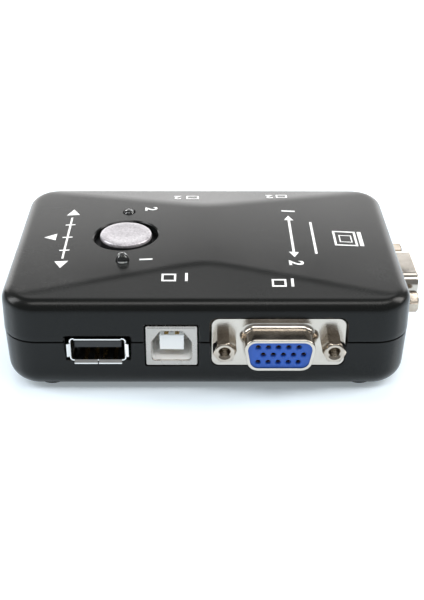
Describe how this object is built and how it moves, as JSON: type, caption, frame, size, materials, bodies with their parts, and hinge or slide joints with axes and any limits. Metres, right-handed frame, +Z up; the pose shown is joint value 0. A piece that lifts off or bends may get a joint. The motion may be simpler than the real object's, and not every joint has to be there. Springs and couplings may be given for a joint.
{
  "type": "kvm switch",
  "caption": "Flat plastic KVM switch box with a round push button, indicator lamps, and video and data sockets around its sides.",
  "frame": {"origin": "under the middle of the overall box, on the plane of the feet", "axes": "+X along the long front face to the side video port, +Y from the front face to the back, +Z up"},
  "size_m": [0.1012, 0.0738, 0.0281],
  "materials": {
    "case_plastic": "satin charcoal moulded ABS",
    "rubber": "matt black rubber",
    "nickel": "bright nickel plate on stamped steel",
    "blue_plastic": "moulded blue",
    "white_plastic": "moulded white",
    "black_plastic": "moulded black",
    "gold": "gold flash on brass",
    "silver_paint": "satin silver paint",
    "clear_resin": "water-clear epoxy",
    "board": "green solder mask on glass epoxy",
    "steel": "zinc plated",
    "tin": "tinned",
    "ceramic": "ceramic"
  },
  "bodies": {
    "case": {"capacitor_back": "tin", "capacitor_front": "tin", "case_screws": "steel", "chip_capacitors": "ceramic", "chip_leads": "tin", "chip_resistors": "black_plastic", "circuit_board": "board", "controller": "black_plastic", "crystal": "tin", "data_switch": "black_plastic", "flat_back_contacts": "gold", "flat_back_insulator": "black_plastic", "flat_back_shell": "nickel", "flat_front_contacts": "gold", "flat_front_insulator": "black_plastic", "flat_front_shell": "nickel", "flat_left_contacts": "gold", "flat_left_insulator": "black_plastic", "flat_left_shell": "nickel", "led_back": "clear_resin", "led_front": "clear_resin", "led_leads": "tin", "lower_case": "case_plastic", "rubber_feet": "rubber", "square_back_contacts": "gold", "square_back_insulator": "white_plastic", "square_back_shell": "nickel", "square_front_contacts": "gold", "square_front_insulator": "white_plastic", "square_front_shell": "nickel", "switch_cover": "steel", "switch_dome": "steel", "switch_housing": "black_plastic", "switch_legs": "tin", "upper_case": "case_plastic", "video_back_bracket": "nickel", "video_back_contacts": "gold", "video_back_insulator": "blue_plastic", "video_back_jackscrews": "nickel", "video_back_shell": "nickel", "video_front_bracket": "nickel", "video_front_contacts": "gold", "video_front_insulator": "blue_plastic", "video_front_jackscrews": "nickel", "video_front_shell": "nickel", "video_right_bracket": "nickel", "video_right_contacts": "gold", "video_right_insulator": "blue_plastic", "video_right_jackscrews": "nickel", "video_right_shell": "nickel", "video_switch_blue": "black_plastic", "video_switch_green": "black_plastic", "video_switch_red": "black_plastic"},
    "button": {"button_cap": "silver_paint", "button_carrier": "black_plastic"},
    "plunger": {"switch_plunger": "black_plastic"}
  },
  "joints": [
    {"name": "button_press", "type": "slide", "parent": "case", "child": "button", "axis": [0, 0, -1], "range_m": [0, 0.0005], "stiffness_N_per_m": 200, "springref_m": -0.005},
    {"name": "plunger_press", "type": "slide", "parent": "case", "child": "plunger", "axis": [0, 0, -1], "range_m": [0, 0.0005], "deforming": ["switch_dome"]}
  ],
  "couplings": [
    {"joint": "plunger_press", "follows": "button_press", "ratio": 1}
  ]
}
